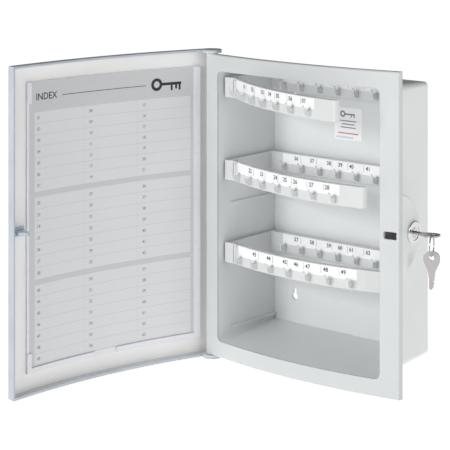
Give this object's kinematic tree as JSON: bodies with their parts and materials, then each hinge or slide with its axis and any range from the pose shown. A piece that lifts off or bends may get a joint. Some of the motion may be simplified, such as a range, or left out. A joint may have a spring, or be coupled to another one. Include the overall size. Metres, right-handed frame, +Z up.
{
  "type": "key cabinet",
  "caption": "Wall-mounted plastic key cabinet with a bowed frosted door, swing-out numbered hook rails, an index card and a side cam lock with keys.",
  "frame": {"origin": "middle of the back face that lies on the wall", "axes": "+X to the right seen from the front, +Y into the wall, +Z up"},
  "size_m": [0.4153, 0.3947, 0.4008],
  "materials": {
    "body_plastic": "fine satin light grey",
    "rail_plastic": "satin light grey",
    "strip": "white printed strip",
    "note_card": "matt printed card",
    "door_plastic": "frosted off-white",
    "frosted_plastic": "frosted pale blue",
    "holder_plastic": "smooth pale grey",
    "index_paper": "matt white paper",
    "pin_steel": "plain steel",
    "lock_chrome": "polished",
    "plug_metal": "nickel plated",
    "key_metal": "nickel plated",
    "ring_steel": "polished wire"
  },
  "bodies": {
    "cabinet": {"case_flange": "body_plastic", "case_box": "body_plastic", "lock_pocket": "body_plastic", "wall_note_card": "note_card", "hinge_pin_upper": "pin_steel", "hinge_pin_lower": "pin_steel", "lock_housing": "lock_chrome", "lock_nut": "pin_steel", "rail_frame_top": "rail_plastic", "rail_frame_middle": "rail_plastic", "rail_frame_bottom": "rail_plastic", "rail_pivot_pin_top": "pin_steel", "rail_pivot_pin_middle": "pin_steel", "rail_pivot_pin_bottom": "pin_steel", "number_strip_top_back": "strip", "number_strip_middle_back": "strip", "number_strip_bottom_back": "strip"},
    "door": {"door": "door_plastic", "latch_hook": "frosted_plastic", "card_holder": "holder_plastic", "index_card": "index_paper"},
    "swing_rail_top_body": {"swing_rail_top": "rail_plastic", "number_strip_top_front": "strip"},
    "swing_rail_middle_body": {"swing_rail_middle": "rail_plastic", "number_strip_middle_front": "strip"},
    "swing_rail_bottom_body": {"swing_rail_bottom": "rail_plastic", "number_strip_bottom_front": "strip"},
    "lock_core": {"lock_plug": "plug_metal", "lock_cam": "pin_steel", "cam_screw": "pin_steel"},
    "key": {"key_in_lock": "key_metal"},
    "ring": {"key_ring": "ring_steel"},
    "spare_key": {"key_spare": "key_metal"}
  },
  "joints": [
    {"name": "door_hinge", "type": "hinge", "parent": "cabinet", "child": "door", "pos_m": [-0.1435, -0.1052, 0], "axis": [0, 0, -1], "range_deg": [-102.5, 67.5]},
    {"name": "rail_top_swing", "type": "hinge", "parent": "cabinet", "child": "swing_rail_top_body", "pos_m": [-0.1055, -0.1027, 0], "axis": [0, 0, -1], "range_deg": [-20, 13.2]},
    {"name": "rail_middle_swing", "type": "hinge", "parent": "cabinet", "child": "swing_rail_middle_body", "pos_m": [-0.1055, -0.1027, 0], "axis": [0, 0, -1], "range_deg": [-9, 6]},
    {"name": "rail_bottom_swing", "type": "hinge", "parent": "cabinet", "child": "swing_rail_bottom_body", "pos_m": [-0.1055, -0.1027, 0], "axis": [0, 0, -1], "range_deg": [0, 85]},
    {"name": "lock_turn", "type": "hinge", "parent": "cabinet", "child": "lock_core", "pos_m": [0.15, -0.0782, -0.0008], "axis": [-1, 0, 0], "range_deg": [-90, 0]},
    {"name": "key_slide", "type": "slide", "parent": "lock_core", "child": "key", "axis": [1, 0, 0], "range_m": [0, 0.022]},
    {"name": "ring_swing", "type": "hinge", "parent": "key", "child": "ring", "pos_m": [0.178, -0.0782, -0.0008], "axis": [0.3584, -0.9336, 0], "range_deg": [-18, 18]},
    {"name": "spare_key_swing", "type": "hinge", "parent": "ring", "child": "spare_key", "pos_m": [0.18117, -0.08646, -0.02332], "axis": [0.3584, -0.9336, 0], "range_deg": [-40, 40]}
  ],
  "couplings": [
    {"joint": "rail_top_swing", "follows": "door_hinge", "ratio": 0.1951},
    {"joint": "rail_middle_swing", "follows": "door_hinge", "ratio": 0.0878}
  ]
}
